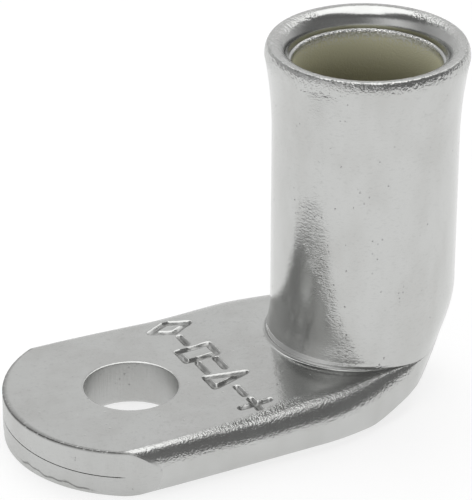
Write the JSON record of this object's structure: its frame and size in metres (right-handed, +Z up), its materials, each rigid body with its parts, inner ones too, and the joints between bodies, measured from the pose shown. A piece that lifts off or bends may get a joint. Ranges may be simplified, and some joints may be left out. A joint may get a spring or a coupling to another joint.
{
  "type": "tinned copper cable lug with a 90 degree barrel",
  "caption": "Tubular cable lug in tinned copper: a belled crimp barrel stands square on a flattened, round-ended palm with folded edges and one stud hole.",
  "frame": {"origin": "centre of the stud hole on the palm's underside", "axes": "+Z up along the stud hole and the barrel, +X from the stud hole towards the barrel, +Y across the palm"},
  "size_m": [0.0275, 0.0142, 0.0208],
  "materials": {
    "tinned_copper": "satin tin plate over copper"
  },
  "bodies": {
    "root": {"cable_lug": "tinned_copper"}
  },
  "joints": []
}
